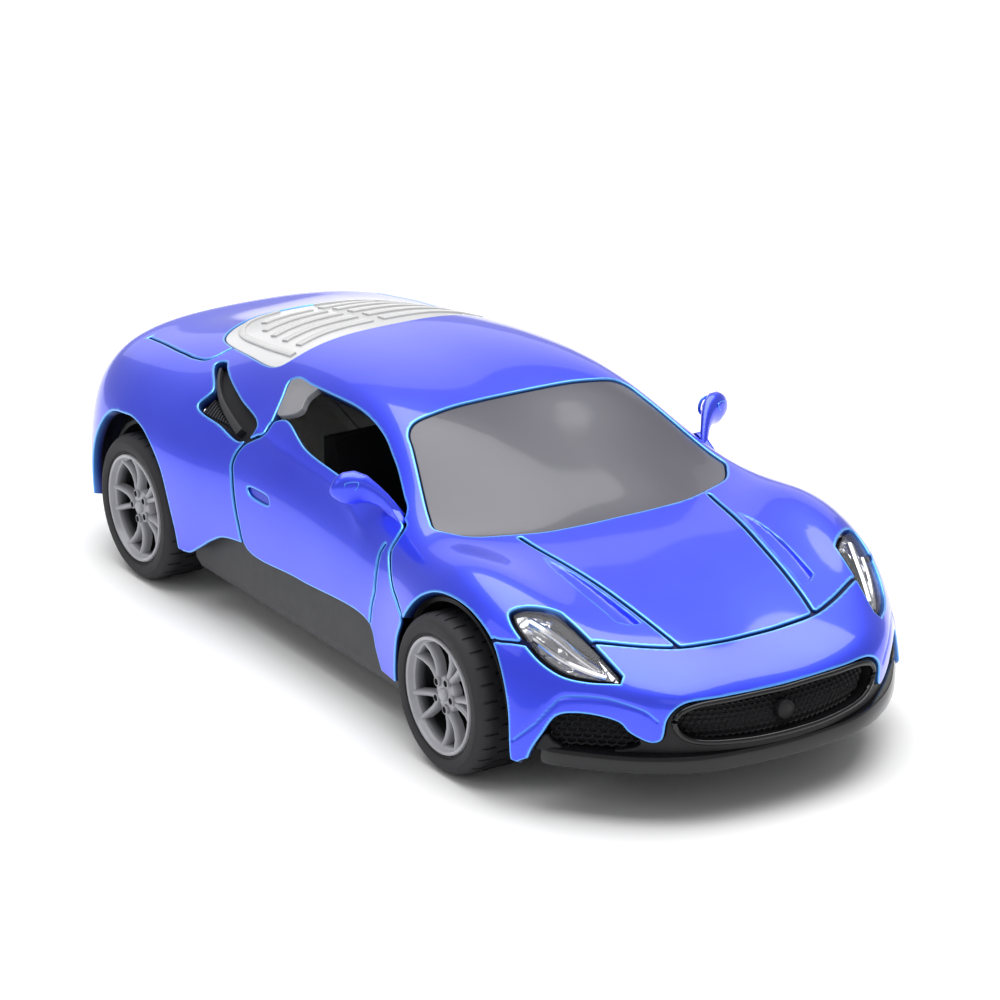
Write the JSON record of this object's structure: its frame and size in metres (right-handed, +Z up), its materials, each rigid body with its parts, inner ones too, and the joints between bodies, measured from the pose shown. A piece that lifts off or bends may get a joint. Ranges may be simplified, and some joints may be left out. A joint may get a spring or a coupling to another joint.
{
  "type": "pull back toy car",
  "caption": "Low mid-engined toy sports car with a die-cast shell, opening doors, rolling wheels and a geared pull-back spring motor.",
  "frame": {"origin": "middle of the footprint, on the ground the tyres stand on", "axes": "+X towards the nose, +Y the car's left, +Z up"},
  "size_m": [0.1267, 0.0554, 0.034],
  "materials": {
    "blue_paint": "metallic gloss paint on die-cast metal",
    "smoked_window": "smoky grey glossy plastic",
    "clear_plastic": "clear silvery plastic",
    "chrome": "vacuum plated plastic",
    "red_plastic": "clear red plastic",
    "black_plastic": "satin moulded",
    "grey_plastic": "satin moulded",
    "rim_plastic": "satin grey moulded",
    "tyre_rubber": "soft black rubber",
    "steel": "bright drawn",
    "white_plastic": "natural nylon"
  },
  "bodies": {
    "car": {"body_shell": "blue_paint", "windscreen": "smoked_window", "rear_engine_cover": "clear_plastic", "quarter_window_left": "clear_plastic", "quarter_window_right": "clear_plastic", "headlight_lens_left": "clear_plastic", "headlight_lens_right": "clear_plastic", "headlight_reflector_left": "chrome", "headlight_reflector_right": "chrome", "exhaust_left": "chrome", "exhaust_right": "chrome", "tail_light_left": "red_plastic", "tail_light_right": "red_plastic", "front_insert": "black_plastic", "grille_mesh": "black_plastic", "front_splitter": "black_plastic", "rear_diffuser": "black_plastic", "chassis": "black_plastic", "interior_tub": "black_plastic", "dashboard": "black_plastic", "seat_left": "black_plastic", "seat_right": "black_plastic", "side_intake_mesh_left": "black_plastic", "side_intake_mesh_right": "black_plastic", "steering_wheel": "black_plastic", "side_skirt_left": "grey_plastic", "side_skirt_right": "grey_plastic", "grille_badge": "grey_plastic", "mainspring": "steel", "door_hinge_pin_left": "steel", "door_hinge_pin_right": "steel", "chassis_screw_1": "steel", "chassis_screw_2": "steel", "chassis_screw_3": "steel", "chassis_screw_4": "steel", "motor_casing": "white_plastic", "motor_casing_lid": "white_plastic", "engine_bay_panel": "white_plastic"},
    "front_wheels": {"front_axle": "steel", "rim_front_left": "rim_plastic", "rim_front_right": "rim_plastic", "tyre_front_left": "tyre_rubber", "tyre_front_right": "tyre_rubber"},
    "rear_wheels": {"rear_axle": "steel", "axle_gear": "white_plastic", "rim_rear_left": "rim_plastic", "rim_rear_right": "rim_plastic", "tyre_rear_left": "tyre_rubber", "tyre_rear_right": "tyre_rubber"},
    "idler": {"idler_gear": "white_plastic"},
    "spring_drive": {"spring_gear": "white_plastic"},
    "left_door": {"door_left": "blue_paint"},
    "right_door": {"door_right": "blue_paint"}
  },
  "joints": [
    {"name": "front_axle_spin", "type": "hinge", "parent": "car", "child": "front_wheels", "pos_m": [0.0337, 0, 0.00935], "axis": [0, 1, 0], "continuous": true},
    {"name": "rear_axle_spin", "type": "hinge", "parent": "car", "child": "rear_wheels", "pos_m": [-0.0395, 0, 0.00935], "axis": [0, 1, 0], "continuous": true},
    {"name": "idler_spin", "type": "hinge", "parent": "car", "child": "idler", "pos_m": [-0.03372, 0, 0.01624], "axis": [0, 1, 0], "continuous": true},
    {"name": "spring_gear_spin", "type": "hinge", "parent": "car", "child": "spring_drive", "pos_m": [-0.02442, 0, 0.01427], "axis": [0, 1, 0], "continuous": true},
    {"name": "left_door_hinge", "type": "hinge", "parent": "car", "child": "left_door", "pos_m": [0.0194, 0.0235, 0.0219], "axis": [0, 0.7071, -0.7071], "range_deg": [0, 60]},
    {"name": "right_door_hinge", "type": "hinge", "parent": "car", "child": "right_door", "pos_m": [0.0194, -0.0235, 0.0219], "axis": [0, 0.7071, 0.7071], "range_deg": [0, 60]}
  ],
  "couplings": [
    {"joint": "idler_spin", "follows": "rear_axle_spin", "ratio": -0.5},
    {"joint": "spring_gear_spin", "follows": "rear_axle_spin", "ratio": 0.17857}
  ]
}
